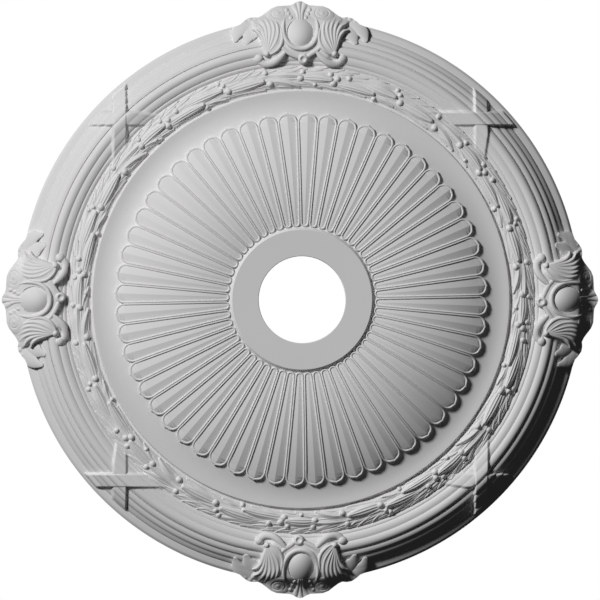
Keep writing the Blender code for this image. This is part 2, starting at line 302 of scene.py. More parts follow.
# Flutes of the peak: across at the start and at the end, how far out the end is, and half width there
FLUTES = ((-2.4, -7.2, 344.5, 3.3), (1.8, 5.4, 344.5, 3.2), (-0.4, -1.0, 349.0, 3.1))
FLUTE_START = 328.0
FLUTE_MIDDLE = 336.0
FLUTE_SPREAD = 1.4

# Beads beside the flutes, a little left of the axis: across, outwards and radius
BEADS = ((13.6, 339.2, 2.3), (11.4, 334.8, 2.2), (8.8, 330.6, 2.1))
BEADS_SHIFT = 2.2
BEAD_LIFT = 2.3

# Shoulder of a cartouche: across, outwards, radius and lift, its stretch and its turn
SHOULDER = (26.0, 334.5, 9.6, 2.2)
SHOULDER_STRETCH = 1.5
SHOULDER_TURN = -10.0

# Volute cut into the shoulder: its middle, half width and half height at the start, what each loses by
# the radian, its first angle in radians, its turns, and the button in its middle
VOLUTE = (26.0, 335.2)
VOLUTE_SIZE = (9.0, 6.0)
VOLUTE_LOSS = (0.35, 0.3)
VOLUTE_START = 2.4
VOLUTE_TURNS = 0.95
VOLUTE_STEPS = 14
BUTTON_RADIUS = 2.0
BUTTON_LIFT = 1.2
BUTTON_SEAT = 1.8

# Ball and knot of the lower scroll: across, outwards, radius and lift
SCROLL_BALL = (49.2, 281.8, 5.0, 4.4)
LEAF_KNOT = (40.0, 287.4, 3.6, 5.2)

# Leaf beside the egg: its seven fronds, which share their half widths and lifts
FROND_WIDTHS = (1.2, 2.2, 2.7, 2.5, 2.4, 0.8)
FROND_LIFTS = (2.6, 3.0, 3.2, 3.0, 3.0, 1.0)
FRONDS = (
    ((39.0, 286.0), (31.0, 289.6), (24.4, 296.4), (21.6, 305.0), (22.0, 313.0), (24.4, 320.0)),
    ((40.0, 288.0), (33.6, 295.0), (28.4, 304.0), (26.4, 313.0), (27.0, 320.0), (29.6, 326.5)),
    ((40.0, 288.0), (36.2, 297.0), (32.6, 307.0), (31.0, 316.0), (32.4, 322.6), (35.6, 329.0)),
    ((40.2, 288.5), (38.2, 298.0), (36.2, 308.5), (35.8, 317.0), (38.0, 324.0), (41.6, 330.5)),
    ((40.4, 289.0), (40.0, 300.0), (40.0, 310.0), (41.2, 318.5), (44.2, 324.5), (48.4, 328.5)),
    ((40.6, 290.0), (41.4, 300.0), (42.8, 309.0), (45.2, 316.0), (48.8, 320.6), (53.4, 323.0)),
    ((40.8, 291.0), (42.8, 299.0), (45.0, 306.0), (47.8, 311.0), (51.4, 314.4), (55.6, 315.6)),
)

# Husks beside the leaf, as a path and half widths, and the crinkles of the edge over them, as across,
# outwards and radius
HUSKS = (
    (((56.0, 325.5), (66.0, 320.5), (73.0, 313.0), (76.5, 304.5)), (6.0, 8.0, 7.4, 3.4)),
    (((45.0, 319.0), (54.0, 315.5), (60.5, 308.5), (63.5, 301.0)), (6.0, 8.4, 7.8, 3.4)),
)
HUSK_LIFTS = (1.6, 2.6, 2.6, 1.2)
CRINKLES = ((52.0, 328.5, 4.0), (58.5, 328.0, 3.6), (64.5, 325.0, 3.4), (70.0, 321.0, 3.2))
CRINKLE_LIFT = 2.6
CRINKLE_STRETCH = 1.5
CRINKLE_TURN = 60.0


def silhouette(angle):
    """Radius of the outer edge at an angle from the nearest cartouche's axis, in degrees."""
    return read_table(SILHOUETTE, np.abs(angle))


def carve_cartouche(relief):
    """One cartouche on its own axis: x across it, y outwards."""
    radius = np.hypot(relief.x, relief.y)
    plate = read_table(smooth_curve(PLATE_TOP, PLATE_STEPS), radius)
    plate = plate - PLATE_SIDE_FALL * ease(np.abs(relief.x), *PLATE_SIDE)
    wing = read_table(WING_TOP, radius)
    for side in (-1, 1):
        husks(relief, side, wing)
    shield(relief, plate)
    for side in (-1, 1):
        shoulder(relief, side, plate)
        strap(relief, side, plate)
        acanthus(relief, side, plate)
        beads(relief, side, plate)
    egg_frame(relief, plate)
    eyelet(relief, plate)
    finial(relief, plate)


def husks(relief, side, wing):
    """Two smooth petals beside the leaf that turn down to the reeds, under a crinkled outer edge."""
    for path, widths in HUSKS:
        relief.ridge(mirrored(path, side), widths, HUSK_LIFTS, power=0.6, ground=wing)
    turn = side * CRINKLE_TURN
    for across, out, radius in CRINKLES:
        x = side * across
        relief.dome(x, out, radius, CRINKLE_LIFT, CRINKLE_STRETCH, turn, power=0.6, ground=wing)


def shield(relief, plate):
    """Raised ground of the cartouche: from the V under the egg and the leaves' sides to the outer edge."""
    across = np.abs(relief.x)
    inside = read_table(SHIELD_INSIDE, across)
    side = read_table(SHIELD_SIDE, relief.y)
    share = ease(relief.y, inside - SHIELD_STEP, inside + SHIELD_STEP)
    share = share * ease(side + SHIELD_REACH - across, 0.0, SHIELD_SLOPE)
    raised = plate * share + relief.base * (1 - share)
    relief.height = np.maximum(relief.height, np.where(share > SHIELD_LEAST, raised, 0))


def shoulder(relief, side, plate):
    """A rounded boss beside the peak, with a volute cut into it and a button in the volute's middle."""
    x, y, radius, lift = SHOULDER
    turn = side * SHOULDER_TURN
    relief.dome(side * x, y, radius, lift, SHOULDER_STRETCH, turn, power=0.6, ground=plate)
    x, y = VOLUTE
    spiral = []
    for turn in np.linspace(0, 2 * math.pi * VOLUTE_TURNS, VOLUTE_STEPS):
        wide, high = (size - loss * turn for size, loss in zip(VOLUTE_SIZE, VOLUTE_LOSS))
        angle = turn + VOLUTE_START
        spiral.append((x + wide * math.cos(angle), y + high * math.sin(angle)))
    relief.groove(mirrored(spiral, side), widths=(0.9, 1.1, 0.9), depths=(0.7, 1.0, 0.7))
    relief.dome(side * x, y, BUTTON_RADIUS, BUTTON_LIFT, stretch=1.5, ground=plate + BUTTON_SEAT)


def strap(relief, side, plate):
    """The lower scroll: an arm from under the frame to a ball, and the leaves' knot above it."""
    arm = ((49.0, 280.4), (42.5, 275.8), (33.5, 276.8), (25.5, 282.0), (19.0, 289.0))
    widths = (3.8, 3.7, 3.8, 3.5, 2.0)
    lifts = (2.4, 2.6, 2.8, 2.6, 1.6)
    relief.ridge(mirrored(arm, side), widths, lifts, ground=plate)
    for across, out, radius, lift in (SCROLL_BALL, LEAF_KNOT):
        relief.dome(side * across, out, radius, lift, ground=plate)


def acanthus(relief, side, plate):
    """A leaf of seven fronds that spread outwards from the knot, their tips curling sideways."""
    body = ((38.0, 287.0), (33.0, 297.0), (33.0, 309.0), (37.5, 320.0), (44.0, 326.0))
    widths = (3.0, 9.5, 12.5, 11.0, 5.0)
    lifts = (2.4, 2.4, 2.4, 2.0, 1.0)
    relief.ridge(mirrored(body, side), widths, lifts, power=0.4, ground=plate)
    for frond in FRONDS:
        relief.ridge(mirrored(frond, side), FROND_WIDTHS, FROND_LIFTS, power=0.8, ground=plate)


def beads(relief, side, plate):
    """A row of three beads between the flutes and the shoulder."""
    for across, out, radius in BEADS:
        relief.dome(side * across - BEADS_SHIFT, out, radius, BEAD_LIFT, ground=plate)


def egg_frame(relief, plate):
    """The thick ring round the lower part of the egg, and the egg itself."""
    ring = ((0.0, 293.6), (6.2, 294.6), (13.6, 299.2), (18.8, 308.0), (20.3, 318.6), (18.6, 329.0))
    widths = (2.9, 2.9, 2.7, 2.3, 1.9, 0.8)
    lifts = (3.6, 3.6, 3.4, 3.0, 2.6, 1.4)
    for side in (-1, 1):
        relief.ridge(mirrored(ring, side), widths, lifts, ground=plate)
    x, y = EGG
    seat = EGG_SEAT - EGG_TILT * (relief.y - y)
    relief.sink(np.hypot(relief.x - x, relief.y - y), EGG_RECESS, seat)
    relief.dome(x, y, EGG_RADIUS, EGG_LIFT, EGG_STRETCH, turn=90.0, power=0.8, ground=seat)


def eyelet(relief, plate):
    """The curled end of the V under the egg, with a pit in it, and the V's two raised edges."""
    x, y = EYELET
    widths = (1.8, 2.4, 2.2, 1.6)
    lifts = (1.4, 1.5, 1.4, 0.8)
    for side in (-1, 1):
        edge = [(x + side * 4.0, 283.0)] + mirrored(((12.0, 287.4), (18.5, 291.6), (24.5, 298.0)), side)
        relief.ridge(edge, widths, lifts, ground=plate)
    relief.dome(x, y, EYELET_RADIUS, EYELET_LIFT, power=0.3, ground=plate)
    gap = np.hypot(relief.x - x, relief.y - y)
    pit = plate + PIT_RIM - PIT_DEPTH * (1 - (gap / PIT_RADIUS) ** 2)
    relief.sink(gap, PIT_RADIUS, pit)


def finial(relief, plate):
    """Three broad flutes that spread to the peak."""
    for start, end, out, wide in FLUTES:
        flute = ((start, FLUTE_START), (start * FLUTE_SPREAD, FLUTE_MIDDLE), (end, out))
        relief.ridge(flute, widths=(1.5, 2.2, wide), lifts=(2.4, 2.4, 1.4), power=0.7, ground=plate)


# Wreath: its edges, and the cushion under the leaves as pairs of radius and height
WREATH_INSIDE = 243.2
WREATH_OUTSIDE = 274.0
WREATH_SECTION = (
    (243.0, 37.97), (243.9, 37.95), (244.3, 37.0), (244.8, 34.4), (245.4, 33.5), (247.0, 33.3),
    (248.6, 33.7), (250.2, 34.6), (252.0, 35.3), (255.0, 35.7), (258.5, 35.2), (262.0, 34.0),
    (265.5, 32.3), (268.5, 30.6), (271.6, 28.7), (273.0, 27.3), (274.0, 27.0), (275.2, 27.8),
)

# Sway of the cushion's edges: how far, waves round the ring and phase in radians. It sets in past the
# inner edge and turns over between two radii
SWAYS = ((0.45, 29, 0.0), (0.4, 47, 1.3), (0.3, 71, 4.0))
SWAY_START = (245.0, 247.5)
SWAY_TURN = (252.0, 264.0)

# Units of the wreath: the angle at which each starts. A place in a unit is how far along it is, from 0
# to 45 whatever the unit's real length, and its radius
UNIT_STARTS = (8.5, 54.5, 96.5, 142.0, 184.3, 230.8, 276.5, 322.5)
UNIT_SPAN = 45.0

# Berries of one unit: along, radius of the place, and their own radius
BERRIES = (
    (-0.9, 266.3, 3.3), (0.9, 262.0, 3.8), (0.1, 255.9, 4.0), (3.8, 264.9, 3.5), (10.5, 254.8, 3.0),
    (11.2, 249.3, 3.0), (16.0, 270.3, 3.3), (17.1, 266.3, 2.9), (17.9, 257.9, 4.1), (27.9, 268.6, 3.8),
    (28.8, 254.4, 4.1), (36.6, 259.7, 4.3), (37.2, 267.0, 3.3), (40.3, 251.6, 2.9),
)
BERRY_LIFT = 4.2

# Lower leaves, which fill the ground under the others: start and end radius, half width and lift. One
# unit has so many in a row, of one length, each row a share of their step further along
LOWER_LEAVES = (
    (251.3, 249.4, 2.6, 1.0), (254.4, 252.0, 3.5, 1.0), (258.8, 258.1, 3.7, 1.1),
    (262.8, 264.7, 3.3, 1.4), (266.3, 269.8, 2.9, 1.8), (269.6, 273.1, 2.5, 1.9),
)
LOWER_COUNT = 12
LOWER_LENGTH = 6.5
LOWER_STAGGER = 0.37
LOWER_BEND = 0.4
LOWER_BASE = 0.6
LOWER_TIP = 0.35
LOWER_LIFTS = (0.3, 1.0, 1.3)
LOWER_VEIN = 0.45

# Leaves of one unit, at the outer edge, at the inner edge and along the middle: path as (along,
# radius), half widths, lifts and number of veins. LEAF_VEIN is how deep the veins are
LEAF_VEIN = 0.75
LEAVES = (
    (((5.0, 264.2), (9.0, 265.6), (12.6, 268.6), (15.8, 271.4)),
     (1.9, 3.3, 3.0, 1.4), (0.6, 1.9, 2.7, 2.7), 2),
    (((5.6, 268.6), (8.0, 271.0), (10.4, 273.3)), (1.2, 2.3, 1.2), (0.8, 2.1, 2.4), 1),
    (((17.6, 267.0), (19.6, 268.9), (21.4, 273.1)), (1.2, 2.6, 1.2), (1.0, 2.5, 2.7), 1),
    (((20.3, 265.6), (22.8, 268.2), (25.4, 273.3)), (1.2, 2.8, 1.2), (1.0, 2.5, 2.7), 1),
    (((23.8, 265.8), (26.0, 268.4), (27.8, 272.8)), (1.2, 2.7, 1.2), (1.0, 2.5, 2.7), 1),
    (((30.2, 263.7), (33.6, 266.5), (37.0, 271.7)), (1.4, 3.3, 1.2), (1.0, 2.7, 2.7), 2),
    (((29.4, 268.9), (32.0, 271.2), (34.8, 273.5)), (1.2, 2.3, 1.2), (1.0, 2.1, 2.4), 1),
    (((38.0, 267.7), (40.6, 269.8), (43.0, 273.5)), (1.2, 2.6, 1.2), (1.0, 2.3, 2.7), 1),
    (((41.6, 266.1), (44.2, 268.4), (47.0, 273.1)), (1.2, 2.8, 1.2), (1.0, 2.3, 2.4), 1),
    (((2.0, 250.8), (5.0, 249.2), (8.8, 248.4)), (1.4, 2.6, 1.2), (0.8, 1.9, 2.1), 1),
    (((11.8, 252.5), (13.8, 252.0), (15.4, 250.4), (16.6, 249.8)),
     (2.3, 3.3, 3.0, 1.5), (1.0, 2.3, 3.0, 2.9), 1),
    (((18.8, 251.3), (22.8, 249.2), (27.2, 248.4)), (1.4, 2.8, 1.2), (0.8, 1.9, 2.1), 1),
    (((29.4, 250.4), (31.8, 250.3), (34.2, 248.4)), (1.2, 2.3, 1.2), (0.8, 1.7, 1.9), 1),
    (((36.9, 255.8), (38.8, 253.9), (40.4, 250.8), (41.8, 248.9)),
     (1.9, 3.0, 2.8, 1.4), (1.0, 2.1, 2.7, 2.7), 1),
    (((41.0, 252.3), (43.2, 250.4), (45.8, 248.9)), (1.2, 2.6, 1.2), (0.8, 2.1, 2.1), 1),
    (((37.6, 260.7), (40.0, 260.9), (42.4, 260.4), (44.3, 259.7)),
     (5.4, 6.3, 5.6, 3.0), (2.3, 3.4, 4.2, 4.5), 2),
    (((1.4, 255.3), (4.5, 254.8), (7.8, 254.6), (10.4, 254.6)),
     (4.7, 5.5, 5.1, 2.7), (1.1, 3.0, 4.0, 4.5), 2),
    (((7.0, 263.3), (10.0, 263.0), (13.2, 262.5), (16.0, 261.6)),
     (3.3, 5.7, 6.0, 3.0), (0.8, 3.0, 4.2, 4.8), 2),
    (((18.0, 257.9), (21.0, 257.6), (24.0, 258.1), (26.9, 258.8)),
     (5.1, 6.7, 6.2, 3.0), (1.1, 3.0, 4.2, 4.8), 2),
    (((28.4, 264.4), (31.4, 264.0), (34.0, 263.3), (36.5, 262.3)),
     (2.8, 4.0, 3.9, 2.6), (1.1, 2.5, 3.4, 4.0), 1),
    (((28.6, 257.9), (31.4, 256.0), (33.8, 252.6), (36.1, 249.0)),
     (2.8, 4.0, 3.9, 1.7), (1.1, 2.9, 3.6, 3.2), 1),
)


def wreath_bed(radius, turn):
    """Height of the cushion under the leaves, whose two edges wander a little as it goes round."""
    sway = sum(size * np.sin(waves * turn + phase) for size, waves, phase in SWAYS)
    sway = sway * ease(radius, *SWAY_START) * (1 - 2 * ease(radius, *SWAY_TURN))
    return read_table(WREATH_SECTION, radius - sway * (radius < WREATH_OUTSIDE))


def unit_place(unit, along, radius):
    """Place (x, y) of a point of a unit. It may lie before the unit's start or past its end."""
    start = UNIT_STARTS[unit]
    if along < 0:
        span = (start - UNIT_STARTS[unit - 1]) % 360
    else:
        span = (UNIT_STARTS[(unit + 1) % len(UNIT_STARTS)] - start) % 360
    turn = math.radians(start + along / UNIT_SPAN * span)
    return radius * math.sin(turn), radius * math.cos(turn)


def carve_wreath(relief):
    """Berries and overlapping leaves in every unit, the leaves all pointing clockwise."""
    for unit in range(len(UNIT_STARTS)):
        carve_lower_leaves(relief, unit)
        for path, widths, lifts, veins in LEAVES:
            places = [unit_place(unit, *spot) for spot in path]
            relief.ridge(places, widths, lifts, power=0.6, veins=veins, depth=LEAF_VEIN)
        for along, radius, size in BERRIES:
            relief.dome(*unit_place(unit, along, radius), size, BERRY_LIFT, power=0.6)


def carve_lower_leaves(relief, unit):
    """Rows of small leaves, each row started a little further along than the one inside it."""
    for row, (start, end, width, lift) in enumerate(LOWER_LEAVES):
        for step in range(LOWER_COUNT):
            along = (step + LOWER_STAGGER * row) * UNIT_SPAN / LOWER_COUNT
            middle = (along + LOWER_LENGTH / 2, start + LOWER_BEND * (end - start))
            path = ((along, start), middle, (along + LOWER_LENGTH, end))
            places = [unit_place(unit, *spot) for spot in path]
            widths = (LOWER_BASE * width, width, LOWER_TIP)
            lifts = [share * lift for share in LOWER_LIFTS]
            relief.ridge(places, widths, lifts, power=0.6, veins=1, depth=LOWER_VEIN)


# Ribbons: how far the middle line of each is from the axis it runs beside, its half width and the
# width of its sloping sides
RIBBON_LINE = 211.8
RIBBON_HALF = 8.1
RIBBON_FLANK = 3.6

# Radius at which the ribbons start, how far out along its own line each one has to be, and the radii
# at which the lower and the upper one end, in a slope from so far inside to so far outside
RIBBON_INSIDE = 270.0
RIBBON_BEYOND = 150.0
RIBBON_OUTSIDE = (320.5, 324.5)
RIBBON_END = (1.6, 0.4)

# Inside a radius and down to a depth, the lower ribbon's half width loses a share of the depth, and
# its middle line moves in by as much, so that only its outer side comes in
NARROW_START = 292.0
NARROW_DEPTH = 30.0
NARROW_SHARE = 0.1

# Lifts of the lower and the upper ribbon, and pairs of radius and share of the lift
RIBBON_LIFTS = (4.6, 5.8)
RIBBON_RISE = ((268.0, 0.0), (275.0, 0.25), (281.0, 0.5), (290.0, 0.7), (302.0, 1.0))

# A ribbon lies between the carved ground and a taut line, given as pairs of radius and height, from
# which reeds stand up by so much at most. How taut it is falls between two radii
RIBBON_TOP = (
    (264.0, 31.0), (288.0, 30.6), (296.0, 29.6), (304.0, 25.0), (312.0, 18.4), (319.0, 10.4), (325.0, 4.4),
)
REED_STAND = 1.0
TAUT_SHARES = (0.55, 0.15)
TAUT_RADII = (293.0, 305.0)


def lay_ribbons(relief):
    """Crossed straps between the cartouches, of which the level and the upright one lie over in turn.

    They press into the reeds, end short of the rim, and the lower one narrows towards the wreath.
    """
    radius = np.hypot(relief.x, relief.y)
    ground = relief.height.copy()
    taut = np.maximum(read_table(RIBBON_TOP, radius), ground - REED_STAND)
    tight = TAUT_SHARES[0] + (TAUT_SHARES[1] - TAUT_SHARES[0]) * ease(radius, *TAUT_RADII)
    body = (1 - tight) * ground + tight * taut
    rise = read_table(RIBBON_RISE, radius)
    inward = np.clip(NARROW_START - radius, 0.0, NARROW_DEPTH)
    for right, up, over in itertools.product((-1, 1), (-1, 1), (0, 1)):
        outside = RIBBON_OUTSIDE[over]
        reach = 1 - ease(radius, outside - RIBBON_END[0], outside + RIBBON_END[1])
        level = (right == up) == bool(over)
        away, beyond = (up * relief.y, right * relief.x) if level else (right * relief.x, up * relief.y)
        narrow = 0.0 if over else NARROW_SHARE * inward
        half = RIBBON_HALF - narrow
        edge = np.abs(away - RIBBON_LINE + narrow)
        share = 1 - ease(edge, half - RIBBON_FLANK / 2, half + RIBBON_FLANK / 2)
        share = share * reach * (radius > RIBBON_INSIDE) * (beyond > RIBBON_BEYOND)
        raised = ground * (1 - share) + (body + RIBBON_LIFTS[over] * rise) * share
        relief.height = np.where(share > 0, np.maximum(relief.height, raised), relief.height)


# Edges of the hole and of the flat ring, as distances from their radius and from the projection
HOLE_EDGE = ((0.0, -16.2), (0.0, -0.6), (0.6, 0.0), (1.4, 0.0))
RING_EDGE = ((-1.6, 0.0), (-0.8, 0.0), (0.0, -0.5), (0.8, -2.0), (1.8, -4.0))

# The petals' fan is an arc with its crest at a radius and height; their bed lies under it. The cove is
# an arc that runs out flat at a radius, at the height of its lip
FAN_CREST = (114.0, 75.2)
FAN_ARC = 202.0
BED_DEPTH = 2.4
BED_RADII = (86.0, 206.5)
BED_STEPS = 24
COVE_ARC = 50.0
COVE_FLAT = 239.0
LIP_HEIGHT = 38.0
COVE_FOOT = (208.5, 209.0)
COVE_RADII = (211.0, 243.4)
COVE_STEPS = 18

# Hidden ledge under the wreath and the border, and the hollow back from the hole to its flat land, as
# pairs of radius and height
LEDGE = ((244.2, 33.0), (277.0, 25.0), (277.0, 18.0), (274.0, 16.0))
BACK_LINE = (
    (50.8, 60.0), (100.0, 59.0), (150.0, 56.0), (170.0, 50.5), (190.0, 43.0), (206.0, 35.0), (222.0, 25.0),
    (290.0, 10.0), (300.0, 0.0),
)
TURNED_STEPS = 256

# Petals: their number, how far round the first one's axis is as a share of a petal, radii of the
# start, shoulder and tip, and the gap between two
PETALS = 56
PETAL_SHIFT = 0.31
PETAL_START = 85.0
PETAL_SHOULDER = 207.0
PETAL_TIP = 219.2
PETAL_GAP = 0.03

# Outline of a petal: what its round inner end has over half of its width, the steps of that end, where
# the straight side starts after it, the steps of the side and of the tip, and how pointed the tip is
START_EXTRA = 0.2
START_STEPS = 5
SIDE_START = 6.0
SIDE_STEPS = 15
TIP_STEPS = 18
TIP_POINT = 0.2

# Bead round a petal, at its sides and at its tip, as pairs of inset and lift. The one turns into the
# other from before the shoulder to just before the tip
BEAD = (
    (0.0, -9.0), (0.0, -1.0), (0.3, -0.4), (0.85, 0.0),
    (1.4, 0.0), (1.85, -0.4), (2.15, -1.0), (2.35, -1.5),
)
TIP_BEAD = (
    (0.0, -9.0), (0.0, -1.1), (0.4, -0.4), (1.0, 0.0),
    (1.6, -0.1), (2.2, -0.5), (2.8, -1.0), (3.4, -1.4),
)
TIP_START = 4.0
TIP_FULL = 2.0

# The bead rises to the petal's point and dips on the tip's two sides, in full from a distance across.
# The field inside it slopes up to the keel. An inset at a corner is kept from running out too far
POINT_RISE = 0.7
SIDE_DIP = 0.8
DIP_WIDTH = 8.0
FIELD_SLOPE = math.tan(math.radians(10.0))
SHARPEST = 0.6

# Grids of the carved bands, in millimetres and degrees. The wreath's underside has a height at its
# outer and one at its inner edge. The border is nowhere lower than its edge, and its first row drops
# a little, to lie under the wreath
WREATH_STEP = 0.54
WREATH_TURN = 0.145
WREATH_UNDER = (22.0, 30.0)
BORDER_START = 273.2
BORDER_STEP = 0.5
CARTOUCHE_HALF = 14.5
CARTOUCHE_TURN = 0.09
RIBBON_HALF_ANGLE = 8.0
RIBBON_TURN = 0.1
PLAIN_TURN = 1.0
EDGE_HEIGHT = 0.4
SEAM_DROP = 0.3

# Angle between two faces from which their edge shows as sharp
SHARP = math.radians(30.0)


def fan_height(radius):
    """Height of the arc that the petals follow."""
    return FAN_CREST[1] - FAN_ARC + np.sqrt(FAN_ARC**2 - (radius - FAN_CREST[0]) ** 2)


def cove_height(radius):
    """Height of the cove and the flat lip beyond it."""
    across = max(COVE_FLAT - radius, 0.0)
    return LIP_HEIGHT + COVE_ARC - math.sqrt(COVE_ARC**2 - across**2)


def back_rows(inside, outside):
    """Rows of the back between two radii, from the outer to the inner."""
    return [row for row in reversed(BACK_LINE) if inside < row[0] < outside]


def place(radius, angle, height):
    """World positions of spots given as arrays of radius, angle and height."""
    turn = np.radians(angle)
    spots = np.stack(np.broadcast_arrays(radius * np.sin(turn), -radius * np.cos(turn), -height), -1)
    return (spots * MM).reshape(-1, 3)


def make_piece(name, spots, faces, material, creases=()):
    """A shown piece that stands for the casting, smooth except at its sharp edges and given creases."""
    mesh = bpy.data.meshes.new(name)
    mesh.from_pydata(spots.tolist(), [], faces)
    mesh.materials.append(material)
    mesh.shade_smooth()
    mesh.set_sharp_from_angle(angle=SHARP)
    if creases:
        wanted = {tuple(sorted(pair)) for pair in creases}
        marks = mesh.attributes["sharp_edge"].data
        for number, pair in enumerate(mesh.edge_keys):
            if pair in wanted:
                marks[number].value = True
    piece = bpy.data.objects.new(name, mesh)
    bpy.context.scene.collection.objects.link(piece)
    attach(piece, "root")
    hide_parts("ceiling_rose")
    return piece


def closed_patch(name, radii, angles, heights, under, material):
    """A solid patch: a carved grid above, a few plain rows below and walls all round.

    radii and heights have a row for each radius and a column for each angle; under lists the plain
    rows from the outer edge to the inner, as (radius, height), either of which may be an array.
    """
    rows = [np.broadcast_to(radii, heights.shape)]
    levels = [heights]
    for radius, height in under:
        rows.append(np.broadcast_to(radius, (1, len(angles))))
        levels.append(np.broadcast_to(height, (1, len(angles))))
    level = np.vstack(levels)
    spots = place(np.vstack(rows), angles[None, :], level)
    number = np.arange(level.size).reshape(level.shape)
    corners = [number[:-1, :-1], number[1:, :-1], number[1:, 1:], number[:-1, 1:]]
    faces = np.stack(corners, -1).reshape(-1, 4).tolist()
    last, first = number[-1], number[0]
    faces += np.stack([last[:-1], first[:-1], first[1:], last[1:]], -1).tolist()
    faces.append(number[:, 0].tolist()[::-1])
    faces.append(number[:, -1].tolist())
    return make_piece(name, spots, faces, material)


def turned_core(material):
    """All that is plain: the hole's wall, flat ring, petals' bed, cove and lip, and the hollow back."""
    line = [(HOLE_RADIUS + out, PROJECTION + up) for out, up in HOLE_EDGE]
    line += [(RING_RADIUS + out, PROJECTION + up) for out, up in RING_EDGE]
    line += [(radius, fan_height(radius) - BED_DEPTH) for radius in np.linspace(*BED_RADII, BED_STEPS)]
    cove = [*COVE_FOOT, *np.linspace(*COVE_RADII, COVE_STEPS)]
    line += [(radius, cove_height(radius)) for radius in cove]
    line += LEDGE
    line += [(BORDER_START, read_table(BACK_LINE, BORDER_START))]
    line += back_rows(HOLE_RADIUS, BORDER_START)
    radii, heights = np.transpose(line)
    angles = np.linspace(0.0, 360.0, TURNED_STEPS, endpoint=False)
    spots = place(radii[:, None], angles[None, :], heights[:, None])
    number = np.arange(len(line) * TURNED_STEPS).reshape(len(line), TURNED_STEPS)
    ahead = np.roll(number, -1, axis=1)
    below = np.roll(number, -1, axis=0)
    far = np.roll(ahead, -1, axis=0)
    faces = np.stack([number, below, far, ahead], -1).reshape(-1, 4).tolist()
    return make_piece("casting_core", spots, faces, material)


def petal_half(radius):
    """Half of a petal's width where its sides are straight."""
    return radius * math.tan(math.pi / PETALS) - PETAL_GAP / 2


def petal_side():
    """Half of a petal's outline, from the middle of its inner end to its tip: (half width, radius)."""
    inner = petal_half(PETAL_START) + START_EXTRA
    side = []
    for k in range(START_STEPS + 1):
        turn = math.radians(90 * k / START_STEPS)
        side.append((inner * math.sin(turn), PETAL_START + inner * (1 - math.cos(turn))))
    for radius in np.linspace(PETAL_START + inner + SIDE_START, PETAL_SHOULDER, SIDE_STEPS):
        side.append((petal_half(radius), radius))
    wide = petal_half(PETAL_SHOULDER)
    for k in range(1, TIP_STEPS):
        turn = math.radians(90 * k / TIP_STEPS)
        rise = math.sin(turn) - TIP_POINT * math.cos(turn) ** 0.5 * math.sin(turn) ** 8
        side.append((wide * math.cos(turn), PETAL_SHOULDER + (PETAL_TIP - PETAL_SHOULDER) * rise))
    side.append((0.0, PETAL_TIP))
    return np.array(side)


def petal_level(half, radius, lift):
    """Height of a spot of a petal from the fan's arc."""
    return fan_height(np.hypot(half, radius)) + lift


def inward_steps(outline):
    """For each spot of a closed outline, the move that takes its two edges 1 mm inwards."""
    ahead = np.roll(outline, -1, axis=0) - outline
    behind = outline - np.roll(outline, 1, axis=0)
    steps = []
    for a, b in zip(ahead, behind):
        a, b = a / np.hypot(*a), b / np.hypot(*b)
        mean = (a + b) / np.hypot(*(a + b))
        reach = max(np.dot(mean, a), SHARPEST)
        steps.append((-mean[1] / reach, mean[0] / reach))
    return np.array(steps)


def bead_spots(outline):
    """Spots of a petal's bead, ring by ring from its hidden foot to the edge of the field inside it."""
    inward = inward_steps(outline)
    tips = ease(outline[:, 1], PETAL_SHOULDER - TIP_START, PETAL_TIP - TIP_FULL)
    right = outline[:, 0] >= 0
    spots = []
    for (inset, lift), (tip_inset, tip_lift) in zip(BEAD, TIP_BEAD):
        ring = outline + inward * (inset + (tip_inset - inset) * tips)[:, None]
        if inset > 0:
            ring[:, 0] = np.where(right, np.maximum(ring[:, 0], 0), np.minimum(ring[:, 0], 0))
        for (half, radius), tip in zip(ring, tips):
            out = ease(radius, PETAL_SHOULDER - TIP_START, PETAL_TIP)
            dip = SIDE_DIP * 4 * out * (1 - out) * min(1.0, abs(half) / DIP_WIDTH)
            rise = lift + (tip_lift - lift) * tip + POINT_RISE * out**4 - dip
            spots.append((half, radius, petal_level(half, radius, rise)))
    return spots


def field_level(half, radius):
    """Height of a petal's field, which slopes up from the bead on both sides to its keel."""
    inset, lift = BEAD[-1]
    rise = lift + (petal_half(radius) - inset - abs(half)) * FIELD_SLOPE
    return petal_level(half, radius, rise)


def petal_mesh():
    """Spots and faces of one petal about the top axis, as (x, y, height), and the edges of its keel."""
    side = petal_side()
    outline = np.vstack([side, side[-2:0:-1] * [-1, 1]])
    count, half_count = len(outline), len(side) - 1
    spots = bead_spots(outline)
    faces = []
    for loop in range(len(BEAD) - 1):
        for k in range(count):
            a, b = loop * count + k, loop * count + (k + 1) % count
            faces.append((a, b, b + count, a + count))
    for k in range(half_count):
        under = ((count - k) % count, count - k - 1, k + 1, k)
        faces.append(tuple(dict.fromkeys(under)))
    field = (len(BEAD) - 1) * count
    keel = [field]
    for k in range(1, half_count):
        radius = spots[field + k][1]
        keel.append(len(spots))
        spots.append((0.0, radius, field_level(0.0, radius)))
        for number in (field + k, field + count - k):
            half, radius, _ = spots[number]
            spots[number] = (half, radius, field_level(half, radius))
    keel.append(field + half_count)
    for k in range(half_count):
        right, right_next = field + k, field + k + 1
        left, left_next = field + (count - k) % count, field + count - k - 1
        for strip in ((right, right_next, keel[k + 1], keel[k]), (keel[k], keel[k + 1], left_next, left)):
            faces.append(tuple(dict.fromkeys(strip)))
    return np.array(spots), faces, list(zip(keel, keel[1:]))


